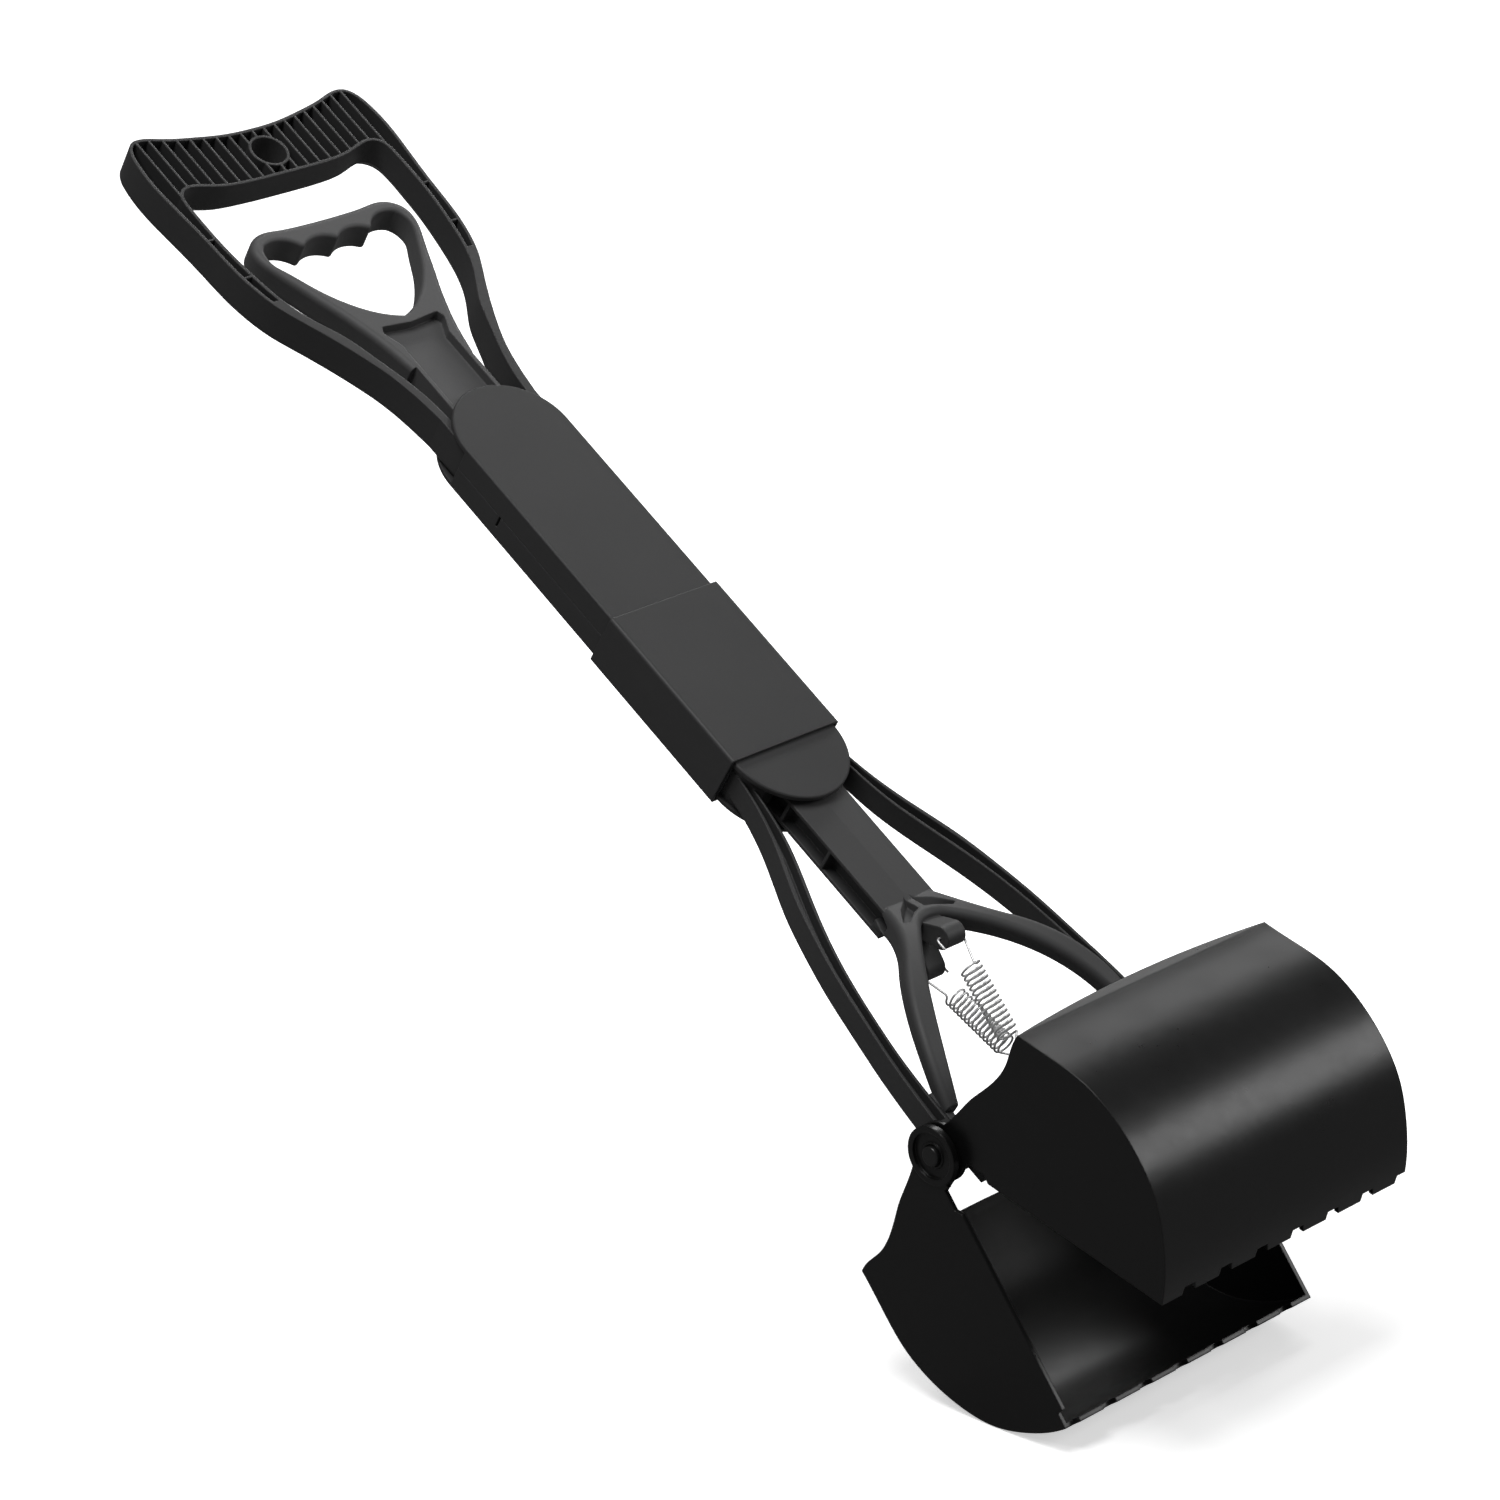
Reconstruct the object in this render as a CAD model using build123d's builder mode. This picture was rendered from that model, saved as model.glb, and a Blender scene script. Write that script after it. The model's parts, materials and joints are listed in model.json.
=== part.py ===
from build123d import *
import os
from math import acos, atan2, cos, hypot, pi, radians, sin, sqrt, tan

os.makedirs("parts", exist_ok=True)

# The origin is the centre of the hang hole, +Z runs up the shaft and the front looks along -Y.
# Heights named *_height are measured up from the jaw axle.
hang_height = 556.5
axle_z = -hang_height

# Clearances and shared sizes
overrun = 5.0
running_gap = 0.3
bore_gap = 0.08
pin_gap = 0.05

# D grip
grip_half_width = 67.0
grip_top_height = 580.1
grip_foot_height = 393.5
grip_depth = 18.0
grip_wall = 1.5
grip_back_radius = 3.0
grip_inner_bevel = 4.5
bevel_least_share = 0.15
pocket_depth = 11.0
pocket_end_height = 477.0
rib_pitch = 6.43
rib_thickness = 1.0
rib_rows = 1
rib_count = 19
rib_foot_height = 541.0
arm_rib_heights = (517.4, 493.1)
hang_hole_radius = 8.1
hang_ring_wall = 1.3
grip_outer_shares = (
    (0, 0.950), (0.209, 0.953), (0.448, 0.967), (0.672, 0.986), (0.813, 1.0), (0.903, 0.995),
    (0.960, 0.970), (0.988, 0.930), (1.0, 0.876), (0.990, 0.801), (0.954, 0.667), (0.928, 0.539),
    (0.896, 0.480), (0.845, 0.424), (0.754, 0.361), (0.624, 0.272), (0.530, 0.197), (0.463, 0.126),
    (0.424, 0.056), (0.403, 0),
)
grip_inner_shares = (
    (0, 0.796), (0.358, 0.798), (0.551, 0.807), (0.699, 0.823), (0.776, 0.825), (0.840, 0.811),
    (0.863, 0.780), (0.866, 0.720), (0.863, 0.656), (0.848, 0.590), (0.825, 0.531), (0.773, 0.441),
    (0.694, 0.372), (0.560, 0.290), (0.486, 0.217), (0.410, 0.137), (0.361, 0.064), (0.340, 0),
)

# Casing: two halves round the fold, each with a front and a back cover
seam_height = 194.1
seam_gap = 0.3
case_half_width = 29.0
cover_thickness = 2.3
cover_edge = 0.6
skirt_width = 1.7
case_top_centre_height = 373.7
case_low_centre_height = 187.6
rail_top_height = 385.0
guide_rib_width = 1.2
guide_rib_end_height = 365.0
slit_height = 343.5
slit_width = 1.2
slit_reach = 5.5

# Trigger handle
trigger_half_width = 44.5
trigger_top_height = 516.7
trigger_step_height = 424.8
trigger_depth = 13.6
trigger_edge_radius = 3.0
trigger_hole_radius = 1.6
trigger_hole_height = 453.2
stem_half_width = 15.5
stem_end_height = 206.0
stem_recess_half_width = 13.5
stem_recess_end_height = 300.0
stem_recess_top_height = 450.0
stem_recess_depth = 4.5
stem_recess_corner = 1.5
stem_recess_shares = ((0, 0), (1.0, 0), (1.0, 0.920), (1.281, 0.975), (1.156, 1.0), (0, 0.989))
finger_pitch = 19.2
finger_tip_height = 502.5
finger_valley_height = 506.2
finger_end_height = 509.6
finger_tip_radius = 1.5
trigger_outer_shares = (
    (0, 0.984), (0.300, 0.986), (0.539, 0.993), (0.728, 1.0), (0.883, 0.976), (0.978, 0.927),
    (1.0, 0.836), (0.928, 0.731), (0.829, 0.622), (0.719, 0.494), (0.629, 0.394), (0.562, 0.307),
    (0.508, 0.231), (0.454, 0.135), (0.396, 0),
)
trigger_hole_shares = (
    (0.830, 0.912), (0.880, 0.880), (0.899, 0.818), (0.822, 0.731), (0.652, 0.579), (0.494, 0.475),
    (0.300, 0.385),
)

# Pull strap and its rivets
strap_width = 10.0
strap_thickness = 1.2
strap_lap = 14.0
rivet_radius = 1.5
rivet_head_radius = 3.0
rivet_head_thickness = 1.0
rivet_seat_depth = 1.2

# Pull rod and fork
rod_half_width = 14.5
rod_top_height = 182.0
rod_web_half_width = 9.0
rod_flange = 1.6
rod_front = 6.0
rod_ridge = 6.9
rod_rib_heights = (164.0, 137.0)
rod_rib_thickness = 1.5
rod_foot_height = 103.0
bay_foot_height = 95.5
bay_foot_back = 0.8
lug_half_width = 5.0
lug_radius = 5.0
lug_reach = 10.6
lug_height = 79.2
lug_root_reach = 2.2
lug_root_radius = 3.0
lug_hole_radius = 0.9
foot_inner = 56.0
foot_outer = 59.5
leg_bow = 18.0
leg_edge_radius = 3.0
leg_outer_shares = ((0.244, 1.0), (0.361, 0.855), (0.529, 0.728), (1.0, 0.117))
leg_inner_shares = ((0, 0.877), (0.0746, 0.868), (0.138, 0.844), (0.880, 0.117))
leg_front_shares = ((-0.36, 1.0), (-0.95, 0.515), (-0.35, 0.078))
leg_back_shares = ((0.38, 1.0), (-0.45, 0.515), (0.16, 0.078))
scoop_depth = 2.4
scoop_rim_shares = (
    (0.014, 1.060), (0.188, 0.981), (0.276, 0.874), (0.218, 0.862), (0.084, 0.909), (0.014, 0.920),
)
scoop_floor_shares = (
    (0.034, 0.981), (0.134, 0.937), (0.239, 0.885), (0.212, 0.876), (0.097, 0.917), (0.034, 0.930),
)

# Lower frame
arm_top_height = 190.0
arm_half_span = 67.6
arm_depth = 11.2
arm_shares = (
    (1.0, 0.399, 0.337), (0.905, 0.436, 0.371), (0.789, 0.533, 0.430), (0.642, 0.703, 0.580),
    (0.547, 0.784, 0.680), (0.437, 0.858, 0.768), (0.326, 0.910, 0.828), (0.221, 0.954, 0.870),
    (0.132, 0.980, 0.888), (0, 1.0, 0.896),
)
arm_groove_depth = 5.0
arm_groove_shares = (0.24, 0.82)
eye_radius = 8.0
bridge_thickness = 1.7
bridge_height = 12.0

# Fold hinge
knuckle_radius = 2.3
knuckle_length = 5.0
hinge_pin_radius = 1.25
fold_limit = 150.0
fold_bevel_gap = 0.4

# Lock sleeve
sleeve_half_width = 30.95
sleeve_half_depth = 13.0
sleeve_wall = 1.3
sleeve_length = 83.3
sleeve_low_height = 187.6
sleeve_corner = 1.6
sleeve_inner_corner = 0.3

# Cover screws
screw_radius = 1.5
screw_head_radius = 3.0
screw_head_height = 1.5
screw_tip_depth = 8.0
screw_boss_radius = 3.0
screw_boss_length = 4.0
screw_offset = 21.4
upper_screw_shares = (0.870, 0.172)
lower_screw_drop = 10.6

# Axle
axle_radius = 2.5
axle_half_length = 75.4
cap_radius = 4.2
cap_lap = 1.0
cap_overhang = 1.2
cap_dome = 0.8
washer_radius = 6.0
washer_gap = 0.05

# Jaws: one moulding used twice, the second turned half round about Z
jaw_far = 75.0
jaw_near = 70.2
jaw_wall = 2.0
jaw_reach = 70.7
jaw_drop = 117.4
jaw_mate_gap = 0.3
jaw_open_angle = 19.3
ear_radius = 12.4
disc_face = 75.7
disc_back = 72.8
disc_recess_radius = 9.8
disc_recess_depth = 1.5
hub_radius = 5.6
hub_height = 0.6
jaw_shell_shares = (
    (0, 1.0), (0.150, 0.991), (0.375, 0.952), (0.590, 0.886), (0.762, 0.785), (0.901, 0.653),
    (0.977, 0.518), (0.994, 0.367), (1.0, 0.221),
)
jaw_crest_shares = (
    (1.0, 0.221), (0.929, 0.206), (0.781, 0.195), (0.665, 0.170), (0.552, 0.129), (0.424, 0.077),
    (0.362, 0.057), (0.174, -0.008),
)
relief_depth = 3.0
relief_top = 14.0
relief_low = 26.0
lip_crown = 4.4
notch_count = 7
notch_pitch = 21.3
notch_start = 2.0
notch_depth = 3.6
notch_width = 6.0
notch_flare = 2.0
drive_radius = 24.0
drive_sweep = 45.0
drive_pin_radius = 1.6
slot_wall = 2.6
foot_height = 22.0
foot_low = 17.0

# Springs
spring_wire_radius = 0.5
spring_coil_radius = 4.5
spring_turns = 14
spring_arm_drop = 16.4
spring_low_height = 31.0
spring_top_reach = 10.2
spring_low_reach = 4.9
front_spring_top_side = -2.0
front_spring_low_side = -5.5
back_spring_top_side = 0.4
back_spring_low_side = -1.1
spring_free_end = 4.0
spring_hook_offset = 1.3
spring_bend_radius = 1.5
spring_hook_sweep = 250.0
spring_hook_drop = 6.0

# Values worked out from the sizes above
rail_outer = grip_half_width * grip_outer_shares[-1][0]
frame_half = grip_depth / 2
case_half_depth = frame_half + cover_thickness
stem_half_depth = trigger_depth / 2
rail_inner = stem_half_width + running_gap
lower_rail_inner = rod_half_width + running_gap
seam_z = axle_z + seam_height
upper_end_z = seam_z + seam_gap / 2
lower_end_z = seam_z - seam_gap / 2
case_top_span = case_top_centre_height - seam_height
upper_screw_heights = [seam_height + share * case_top_span for share in upper_screw_shares]
lower_screw_height = case_low_centre_height - lower_screw_drop
spring_top_height = lug_height - spring_arm_drop
cap_start = axle_half_length - cap_lap
cap_end = axle_half_length + cap_overhang
hinge_y = frame_half
strap_back = stem_half_depth
strap_front = strap_back - strap_thickness
knuckle_outer = rail_outer - pin_gap
knuckle_middle = knuckle_outer - knuckle_length
knuckle_gap = running_gap
knuckle_inner = knuckle_middle - knuckle_gap - knuckle_length
fold_bevel_angle = (180 - fold_limit) / 2


def at(height):
    """The z of a height above the jaw axle."""
    return height - hang_height


def spread(shares, width, low, high):
    """Points of an outline from shares of its width and of the height from low to high."""
    return [(x * width, low + share * (high - low)) for x, share in shares]


def inset(points, distance):
    """A half outline that starts square to x = 0, moved to its right by a distance."""
    moved = []
    for index, (x, y) in enumerate(points):
        before = points[index - 1] if index else (-points[1][0], points[1][1])
        after = points[min(index + 1, len(points) - 1)]
        run_x, run_y = after[0] - before[0], after[1] - before[1]
        length = hypot(run_x, run_y)
        moved.append((x + distance * run_y / length, y - distance * run_x / length))
    return moved


def half_face(points, mode=Mode.ADD):
    """In the current sketch, the face between a half outline that starts at x = 0 and its mirror."""
    end_run = (points[-1][0] - points[-2][0], points[-1][1] - points[-2][1])
    with BuildLine() as outline:
        Spline(*points, tangents=[(1, 0), end_run])
        Line(points[-1], (0, points[-1][1]))
        mirror(about=Plane.YZ)
    make_face(outline.edges(), mode=mode)


def box_between(x_low, x_high, y_low, y_high, z_low, z_high, mode=Mode.ADD):
    """In the current part, a box between two corners."""
    with Locations((x_low, y_low, z_low)):
        Box(
            x_high - x_low, y_high - y_low, z_high - z_low,
            align=(Align.MIN, Align.MIN, Align.MIN), mode=mode,
        )


def front_plane(y):
    """The upright plane at a given y, looking to the front."""
    return Plane.XZ.offset(-y)


def case_face(low, high, half_width, low_centre, top_centre):
    """In the current sketch, the stadium of the casing, cut off at low and high."""
    with Locations((0, (low_centre + top_centre) / 2)):
        Rectangle(2 * half_width, top_centre - low_centre)
    with Locations((0, low_centre), (0, top_centre)):
        Circle(half_width)
    with Locations((0, (low + high) / 2)):
        Rectangle(2 * (half_width + overrun), high - low, mode=Mode.INTERSECT)


# Upper frame
grip_low, grip_high = at(grip_foot_height), at(grip_top_height)
grip_outer = spread(grip_outer_shares, grip_half_width, grip_low, grip_high)
grip_inner = spread(grip_inner_shares, grip_half_width, grip_low, grip_high)
neck_inner = grip_inner[-1][0]

with BuildPart() as upper_frame:
    with BuildSketch(Plane.XZ):
        half_face(grip_outer)
        half_face(grip_inner, mode=Mode.SUBTRACT)
        for side in (-1, 1):
            with Locations((side * (rail_inner + rail_outer) / 2, (upper_end_z + at(rail_top_height)) / 2)):
                Rectangle(rail_outer - rail_inner, at(rail_top_height) - upper_end_z)
            with Locations((side * (neck_inner + rail_outer) / 2, (grip_low + at(rail_top_height)) / 2)):
                Rectangle(rail_outer - neck_inner, grip_low - at(rail_top_height))
    extrude(amount=frame_half, both=True)
    # The outer edge of the back is rounded, the front is crisp
    back_edges = upper_frame.faces().sort_by(Axis.Y)[-1].edges()
    outer_edges = [edge for edge in back_edges if abs(edge.position_at(0).X) > rail_outer - pin_gap]
    fillet([edge for edge in outer_edges if edge.length > grip_depth], radius=grip_back_radius)
    # The inner edge of the back is bevelled, less and less down the narrowing arms
    eased = inset(grip_inner, -grip_inner_bevel)
    bevel_shares = [bevel_least_share + (1 - bevel_least_share) * share for _, share in grip_inner_shares]
    bevelled = [
        (a[0] + share * (b[0] - a[0]), a[1] + share * (b[1] - a[1]))
        for a, b, share in zip(grip_inner, eased, bevel_shares)
    ]
    with BuildSketch(front_plane(frame_half - grip_inner_bevel)):
        half_face(grip_inner)
    with BuildSketch(front_plane(frame_half)):
        half_face(bevelled)
    loft(mode=Mode.SUBTRACT)
    # Open pockets between the ribs of the grip
    with BuildSketch(front_plane(-frame_half)):
        half_face(inset(grip_outer, grip_wall))
        half_face(inset(grip_inner, -grip_wall), mode=Mode.SUBTRACT)
        with Locations((0, at(pocket_end_height) - hang_height)):
            Rectangle(2 * (grip_half_width + overrun), 2 * hang_height, mode=Mode.SUBTRACT)
        with Locations((0, (at(rib_foot_height) + grip_high) / 2)):
            with GridLocations(rib_pitch, rib_pitch, rib_count, rib_rows):
                Rectangle(rib_thickness, grip_high - at(rib_foot_height), mode=Mode.SUBTRACT)
        for height in arm_rib_heights:
            with Locations((0, at(height))):
                Rectangle(2 * grip_half_width, rib_thickness, mode=Mode.SUBTRACT)
        Circle(hang_hole_radius + hang_ring_wall, mode=Mode.SUBTRACT)
    extrude(amount=-pocket_depth, mode=Mode.SUBTRACT)
    with BuildSketch(Plane.XZ):
        Circle(hang_hole_radius)
    extrude(amount=frame_half + overrun, both=True, mode=Mode.SUBTRACT)
    # Hinge knuckles, and room for those of the lower frame
    for side in (-1, 1):
        with BuildSketch(Plane.YZ.offset(side * (knuckle_inner + knuckle_middle) / 2)):
            with Locations((hinge_y, seam_z)):
                Circle(knuckle_radius + running_gap)
        extrude(amount=knuckle_length / 2 + knuckle_gap, both=True, mode=Mode.SUBTRACT)
        with BuildSketch(Plane.YZ.offset(side * (knuckle_middle + knuckle_outer) / 2)):
            with Locations((hinge_y, seam_z)):
                Circle(knuckle_radius)
        extrude(amount=knuckle_length / 2, both=True)
    with BuildSketch(Plane.YZ):
        with Locations((hinge_y, seam_z)):
            Circle(hinge_pin_radius + pin_gap)
    extrude(amount=rail_outer + overrun, both=True, mode=Mode.SUBTRACT)
    # Screw holes, wider at the front for the cover's bosses
    for height in upper_screw_heights:
        for side in (-1, 1):
            with BuildSketch(Plane.XZ):
                with Locations((side * screw_offset, at(height))):
                    Circle(screw_radius + pin_gap)
            extrude(amount=frame_half + overrun, both=True, mode=Mode.SUBTRACT)
            with BuildSketch(front_plane(-frame_half)):
                with Locations((side * screw_offset, at(height))):
                    Circle(screw_boss_radius + bore_gap)
            extrude(amount=-screw_boss_length - bore_gap, mode=Mode.SUBTRACT)
upper_frame.part.label = "upper_frame"
export_step(upper_frame.part, "parts/upper_frame.step")


def make_cover(front, low, high, screw_heights, guides, slits):
    """A cover plate with its side skirts and guide ribs, for the front or the back."""
    side_sign = -1 if front else 1
    with BuildPart() as cover:
        with BuildSketch(front_plane(side_sign * frame_half)):
            case_face(low, high, case_half_width, at(case_low_centre_height), at(case_top_centre_height))
        extrude(amount=-side_sign * cover_thickness)
        outer_face = cover.faces().filter_by(Axis.Y).sort_by(Axis.Y)[0 if front else -1]
        chamfer(outer_face.edges(), length=cover_edge)
        # Skirts reach from the plate to the middle plane
        with BuildSketch(Plane.XZ):
            case_face(low, high, case_half_width, at(case_low_centre_height), at(case_top_centre_height))
            Rectangle(
                2 * (case_half_width - skirt_width), 2 * hang_height + 2 * overrun,
                mode=Mode.SUBTRACT,
            )
            straight_low = max(low, at(case_low_centre_height))
            straight_high = min(high, at(case_top_centre_height))
            with Locations((0, (straight_low + straight_high) / 2)):
                Rectangle(2 * case_half_width, straight_high - straight_low, mode=Mode.INTERSECT)
        extrude(amount=-side_sign * frame_half)
        for x, rib_low, rib_high, rib_face in guides:
            for side in (-1, 1):
                with BuildSketch(front_plane(side_sign * frame_half)):
                    with Locations((side * x, (rib_low + rib_high) / 2)):
                        Rectangle(guide_rib_width, rib_high - rib_low)
                extrude(amount=side_sign * (frame_half - rib_face))
        for height in slits:
            box_between(
                -case_half_width - overrun, case_half_width + overrun, -pin_gap, slit_reach,
                at(height) - slit_width / 2, at(height) + slit_width / 2, mode=Mode.SUBTRACT,
            )
        for height in screw_heights:
            for side in (-1, 1):
                with BuildSketch(front_plane(side_sign * frame_half)):
                    with Locations((side * screw_offset, at(height))):
                        if front:
                            Circle(screw_boss_radius)
                        else:
                            Circle(screw_radius + pin_gap)
                if front:
                    extrude(amount=-screw_boss_length)
                    with BuildSketch(front_plane(-screw_tip_depth - pin_gap)):
                        with Locations((side * screw_offset, at(height))):
                            Circle(screw_radius + pin_gap)
                    extrude(amount=-frame_half, mode=Mode.SUBTRACT)
                else:
                    extrude(amount=-cover_thickness - overrun, mode=Mode.SUBTRACT)
                    with BuildSketch(front_plane(case_half_depth)):
                        with Locations((side * screw_offset, at(height))):
                            Circle(screw_head_radius + pin_gap)
                    with BuildSketch(front_plane(case_half_depth - screw_head_height - pin_gap)):
                        with Locations((side * screw_offset, at(height))):
                            Circle(screw_radius + pin_gap)
                    loft(mode=Mode.SUBTRACT)
        if not front:
            # A bevel lets the halves fold flat, and the hinge has its room
            sense = 1 if low > seam_z else -1
            bevel_run = (cover_thickness + overrun + fold_bevel_gap) / tan(radians(fold_bevel_angle))
            with BuildSketch(Plane.YZ):
                with BuildLine():
                    Polyline(
                        (hinge_y - fold_bevel_gap, seam_z),
                        (case_half_depth + overrun, seam_z + sense * bevel_run),
                        (case_half_depth + overrun, seam_z - sense * overrun),
                        (hinge_y - fold_bevel_gap, seam_z - sense * overrun),
                        close=True,
                    )
                make_face()
            extrude(amount=case_half_width + overrun, both=True, mode=Mode.SUBTRACT)
            with BuildSketch(Plane.YZ):
                with Locations((hinge_y, seam_z)):
                    Circle(knuckle_radius + running_gap)
            extrude(amount=rail_outer + running_gap, both=True, mode=Mode.SUBTRACT)
    return cover


guide_x = stem_half_width - guide_rib_width / 2 - running_gap
upper_guides = ((guide_x, at(stem_end_height), at(guide_rib_end_height), stem_half_depth + running_gap),)
case_top_z = at(case_top_centre_height) + case_half_width
case_low_z = at(case_low_centre_height) - case_half_width

upper_front_cover = make_cover(True, upper_end_z, case_top_z, upper_screw_heights, upper_guides, ())
upper_front_cover.part.label = "upper_front_cover"
export_step(upper_front_cover.part, "parts/upper_front_cover.step")

upper_back_cover = make_cover(False, upper_end_z, case_top_z, upper_screw_heights, upper_guides, (slit_height,))
upper_back_cover.part.label = "upper_back_cover"
export_step(upper_back_cover.part, "parts/upper_back_cover.step")

lower_front_cover = make_cover(True, case_low_z, lower_end_z, (lower_screw_height,), (), ())
lower_front_cover.part.label = "lower_front_cover"
export_step(lower_front_cover.part, "parts/lower_front_cover.step")

lower_back_cover = make_cover(False, case_low_z, lower_end_z, (lower_screw_height,), (), ())
lower_back_cover.part.label = "lower_back_cover"
export_step(lower_back_cover.part, "parts/lower_back_cover.step")


def make_screws(heights):
    """Countersunk screws from the back, a pair at each height."""
    with BuildPart() as screws:
        for height in heights:
            for side in (-1, 1):
                with BuildSketch(front_plane(case_half_depth)):
                    with Locations((side * screw_offset, at(height))):
                        Circle(screw_head_radius)
                with BuildSketch(front_plane(case_half_depth - screw_head_height)):
                    with Locations((side * screw_offset, at(height))):
                        Circle(screw_radius)
                loft()
                with BuildSketch(front_plane(case_half_depth - screw_head_height)):
                    with Locations((side * screw_offset, at(height))):
                        Circle(screw_radius)
                extrude(amount=case_half_depth - screw_head_height + screw_tip_depth)
    return screws


upper_cover_screws = make_screws(upper_screw_heights)
upper_cover_screws.part.label = "upper_cover_screws"
export_step(upper_cover_screws.part, "parts/upper_cover_screws.step")

lower_cover_screws = make_screws((lower_screw_height,))
lower_cover_screws.part.label = "lower_cover_screws"
export_step(lower_cover_screws.part, "parts/lower_cover_screws.step")

with BuildPart() as fold_hinge_pin:
    with BuildSketch(Plane.YZ):
        with Locations((hinge_y, seam_z)):
            Circle(hinge_pin_radius)
    extrude(amount=knuckle_outer, both=True)
fold_hinge_pin.part.label = "fold_hinge_pin"
export_step(fold_hinge_pin.part, "parts/fold_hinge_pin.step")

# Lock sleeve
with BuildPart() as locking_sleeve:
    with BuildSketch(Plane.XY.offset(at(sleeve_low_height))):
        RectangleRounded(2 * sleeve_half_width, 2 * sleeve_half_depth, sleeve_corner)
        RectangleRounded(
            2 * (sleeve_half_width - sleeve_wall), 2 * (sleeve_half_depth - sleeve_wall),
            sleeve_inner_corner, mode=Mode.SUBTRACT,
        )
    extrude(amount=sleeve_length)
locking_sleeve.part.label = "locking_sleeve"
export_step(locking_sleeve.part, "parts/locking_sleeve.step")

# Trigger handle
trigger_low, trigger_high = at(trigger_step_height), at(trigger_top_height)
trigger_outer = spread(trigger_outer_shares, trigger_half_width, trigger_low, trigger_high)
trigger_hole = spread(trigger_hole_shares, trigger_half_width, trigger_low, trigger_high)

with BuildPart() as trigger_handle:
    with BuildSketch(Plane.XZ):
        half_face(trigger_outer)
    extrude(amount=stem_half_depth, both=True)
    rims = trigger_handle.faces().filter_by(Axis.Y).edges()
    fillet(rims.filter_by(lambda edge: edge.center().Z > trigger_low + pin_gap), radius=trigger_edge_radius)
    with BuildSketch(Plane.XZ):
        with BuildLine():
            ThreePointArc(
                (0, at(finger_tip_height)),
                (finger_pitch / 2, at(finger_valley_height)),
                (finger_pitch, at(finger_tip_height)),
            )
            ThreePointArc(
                (finger_pitch, at(finger_tip_height)),
                ((finger_pitch + trigger_hole[0][0]) / 2, at(finger_end_height)),
                trigger_hole[0],
            )
            side_line = Spline(*trigger_hole)
            TangentArc(trigger_hole[-1], (0, at(trigger_hole_height)), tangent=side_line.tangent_at(1))
            mirror(about=Plane.YZ)
        make_face()
    extrude(amount=stem_half_depth + overrun, both=True, mode=Mode.SUBTRACT)
    # Rounded finger tips, then the hole's rims
    cross_edges = trigger_handle.edges().filter_by(Axis.Y)
    fillet(
        cross_edges.filter_by(lambda edge: edge.center().Z > trigger_hole[-1][1] + finger_pitch),
        radius=finger_tip_radius,
    )
    rims = trigger_handle.faces().filter_by(Axis.Y).edges()
    hole_low, hole_high = at(trigger_hole_height) - pin_gap, at(finger_end_height)
    fillet(
        rims.filter_by(lambda edge: hole_low < edge.center().Z <= hole_high), radius=trigger_hole_radius,
    )
    with BuildSketch(Plane.XZ):
        with Locations((0, (trigger_low + at(stem_end_height)) / 2)):
            Rectangle(2 * stem_half_width, trigger_low - at(stem_end_height))
    extrude(amount=stem_half_depth, both=True)
    # Long recess in the front of the stem
    recess_low, recess_high = at(stem_recess_end_height), at(stem_recess_top_height)
    recess_outline = spread(stem_recess_shares, stem_recess_half_width, recess_low, recess_high)
    with BuildSketch(front_plane(-stem_half_depth)):
        with BuildLine():
            Polyline(*recess_outline)
            mirror(about=Plane.YZ)
        recess = make_face()
        corners = recess.vertices().filter_by(lambda corner: abs(corner.X) > pin_gap)
        fillet(corners, radius=stem_recess_corner)
    extrude(amount=-stem_recess_depth, mode=Mode.SUBTRACT)
    # Seat of the strap and its rivet
    box_between(
        -strap_width / 2 - pin_gap, strap_width / 2 + pin_gap, strap_front, stem_half_depth + overrun,
        at(stem_end_height) - overrun, at(stem_end_height) + strap_lap + pin_gap, mode=Mode.SUBTRACT,
    )
    with BuildSketch(Plane.XZ):
        with Locations((0, at(stem_end_height) + strap_lap / 2)):
            Circle(rivet_radius + pin_gap)
    extrude(amount=stem_half_depth + overrun, both=True, mode=Mode.SUBTRACT)
    with BuildSketch(front_plane(-stem_half_depth)):
        with Locations((0, at(stem_end_height) + strap_lap / 2)):
            Circle(rivet_head_radius + pin_gap)
    extrude(amount=-rivet_seat_depth, mode=Mode.SUBTRACT)
trigger_handle.part.label = "trigger_handle"
export_step(trigger_handle.part, "parts/trigger_handle.step")

# Pull strap and rivets
strap_high = at(stem_end_height) + strap_lap
strap_low = at(rod_top_height) - strap_lap
with BuildPart() as pull_strap:
    box_between(-strap_width / 2, strap_width / 2, strap_front, strap_back, strap_low, strap_high)
    with BuildSketch(Plane.XZ):
        with Locations((0, strap_high - strap_lap / 2), (0, strap_low + strap_lap / 2)):
            Circle(rivet_radius + pin_gap)
    extrude(amount=strap_back + overrun, both=True, mode=Mode.SUBTRACT)
pull_strap.part.label = "pull_strap"
export_step(pull_strap.part, "parts/pull_strap.step")


def make_rivet(z, front_face):
    """A rivet along Y with a head in the carrier's front and one on the strap's back."""
    with BuildPart() as rivet:
        with BuildSketch(front_plane(-front_face)):
            with Locations((0, z)):
                Circle(rivet_head_radius)
        extrude(amount=-rivet_seat_depth)
        with BuildSketch(front_plane(-front_face + rivet_seat_depth)):
            with Locations((0, z)):
                Circle(rivet_radius)
        extrude(amount=-(front_face - rivet_seat_depth + strap_back))
        with BuildSketch(front_plane(strap_back)):
            with Locations((0, z)):
                Circle(rivet_head_radius)
        extrude(amount=-rivet_head_thickness)
    return rivet


strap_rivet_upper = make_rivet(strap_high - strap_lap / 2, stem_half_depth)
strap_rivet_upper.part.label = "strap_rivet_upper"
export_step(strap_rivet_upper.part, "parts/strap_rivet_upper.step")

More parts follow.
